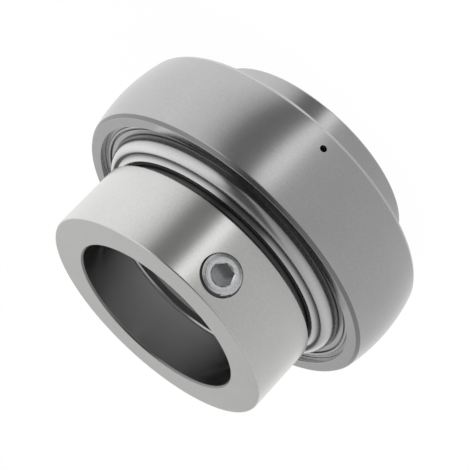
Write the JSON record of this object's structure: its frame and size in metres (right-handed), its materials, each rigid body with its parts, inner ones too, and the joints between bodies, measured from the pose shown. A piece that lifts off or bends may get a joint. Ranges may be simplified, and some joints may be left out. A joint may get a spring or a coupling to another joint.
{
  "type": "insert bearing",
  "caption": "Sealed insert ball bearing with a spherical outside, a wide inner ring, pressed flingers and an eccentric locking collar with a hexagon socket set screw.",
  "frame": {"origin": "centre of the inner ring's rear end face, on the shaft axis", "axes": "+Z along the shaft axis from the rear end face to the locking collar, -Y through the set screw"},
  "size_m": [0.085, 0.085, 0.0563],
  "materials": {
    "ground_ring": "ground bearing steel, fine lay round the axis",
    "outer_ground": "ground bearing steel, spherical seat",
    "collar_turned": "fine turned steel, satin",
    "pressed_bright": "bright pressed sheet steel",
    "cage_strip": "pressed strip steel, matt",
    "zinc_screw": "zinc plated, slightly blue",
    "polished_balls": "polished bearing steel",
    "seal_rubber": "matt black nitrile rubber"
  },
  "bodies": {
    "inner": {"inner_ring": "ground_ring", "flinger_front": "pressed_bright", "flinger_rear": "pressed_bright"},
    "outer": {"outer_ring": "outer_ground", "seal_carrier_front": "pressed_bright", "seal_carrier_rear": "pressed_bright", "seal_lip_front": "seal_rubber", "seal_lip_rear": "seal_rubber"},
    "cage": {"cage_half_front": "cage_strip", "cage_half_rear": "cage_strip", "cage_rivets": "cage_strip"},
    "collar": {"locking_collar": "collar_turned"},
    "screw": {"set_screw": "zinc_screw"},
    "ball_1": {"ball_1": "polished_balls"},
    "ball_2": {"ball_2": "polished_balls"},
    "ball_3": {"ball_3": "polished_balls"},
    "ball_4": {"ball_4": "polished_balls"},
    "ball_5": {"ball_5": "polished_balls"},
    "ball_6": {"ball_6": "polished_balls"},
    "ball_7": {"ball_7": "polished_balls"},
    "ball_8": {"ball_8": "polished_balls"},
    "ball_9": {"ball_9": "polished_balls"}
  },
  "joints": [
    {"name": "outer_spin", "type": "hinge", "parent": "inner", "child": "outer", "pos_m": [0, 0, 0.0214], "axis": [0, 0, 1], "continuous": true},
    {"name": "cage_spin", "type": "hinge", "parent": "inner", "child": "cage", "pos_m": [0, 0, 0.0214], "axis": [0, 0, 1], "continuous": true},
    {"name": "collar_turn", "type": "hinge", "parent": "inner", "child": "collar", "pos_m": [0, 0.001, 0.0214], "axis": [0, 0, 1], "range_deg": [-20, 20]},
    {"name": "screw_travel", "type": "slide", "parent": "collar", "child": "screw", "axis": [0, 1, 0], "range_m": [-0.0025, 0.0011]},
    {"name": "ball_1_spin", "type": "hinge", "parent": "cage", "child": "ball_1", "pos_m": [0.0325, 0, 0.0214], "axis": [0, 0, 1], "continuous": true},
    {"name": "ball_2_spin", "type": "hinge", "parent": "cage", "child": "ball_2", "pos_m": [0.0249, 0.02089, 0.0214], "axis": [0, 0, 1], "continuous": true},
    {"name": "ball_3_spin", "type": "hinge", "parent": "cage", "child": "ball_3", "pos_m": [0.00564, 0.03201, 0.0214], "axis": [0, 0, 1], "continuous": true},
    {"name": "ball_4_spin", "type": "hinge", "parent": "cage", "child": "ball_4", "pos_m": [-0.01625, 0.02815, 0.0214], "axis": [0, 0, 1], "continuous": true},
    {"name": "ball_5_spin", "type": "hinge", "parent": "cage", "child": "ball_5", "pos_m": [-0.03054, 0.01112, 0.0214], "axis": [0, 0, 1], "continuous": true},
    {"name": "ball_6_spin", "type": "hinge", "parent": "cage", "child": "ball_6", "pos_m": [-0.03054, -0.01112, 0.0214], "axis": [0, 0, 1], "continuous": true},
    {"name": "ball_7_spin", "type": "hinge", "parent": "cage", "child": "ball_7", "pos_m": [-0.01625, -0.02815, 0.0214], "axis": [0, 0, 1], "continuous": true},
    {"name": "ball_8_spin", "type": "hinge", "parent": "cage", "child": "ball_8", "pos_m": [0.00564, -0.03201, 0.0214], "axis": [0, 0, 1], "continuous": true},
    {"name": "ball_9_spin", "type": "hinge", "parent": "cage", "child": "ball_9", "pos_m": [0.0249, -0.02089, 0.0214], "axis": [0, 0, 1], "continuous": true}
  ],
  "couplings": [
    {"joint": "cage_spin", "follows": "outer_spin", "ratio": 0.59769},
    {"joint": "ball_1_spin", "follows": "outer_spin", "ratio": 2.4614},
    {"joint": "ball_2_spin", "follows": "outer_spin", "ratio": 2.4614},
    {"joint": "ball_3_spin", "follows": "outer_spin", "ratio": 2.4614},
    {"joint": "ball_4_spin", "follows": "outer_spin", "ratio": 2.4614},
    {"joint": "ball_5_spin", "follows": "outer_spin", "ratio": 2.4614},
    {"joint": "ball_6_spin", "follows": "outer_spin", "ratio": 2.4614},
    {"joint": "ball_7_spin", "follows": "outer_spin", "ratio": 2.4614},
    {"joint": "ball_8_spin", "follows": "outer_spin", "ratio": 2.4614},
    {"joint": "ball_9_spin", "follows": "outer_spin", "ratio": 2.4614}
  ]
}
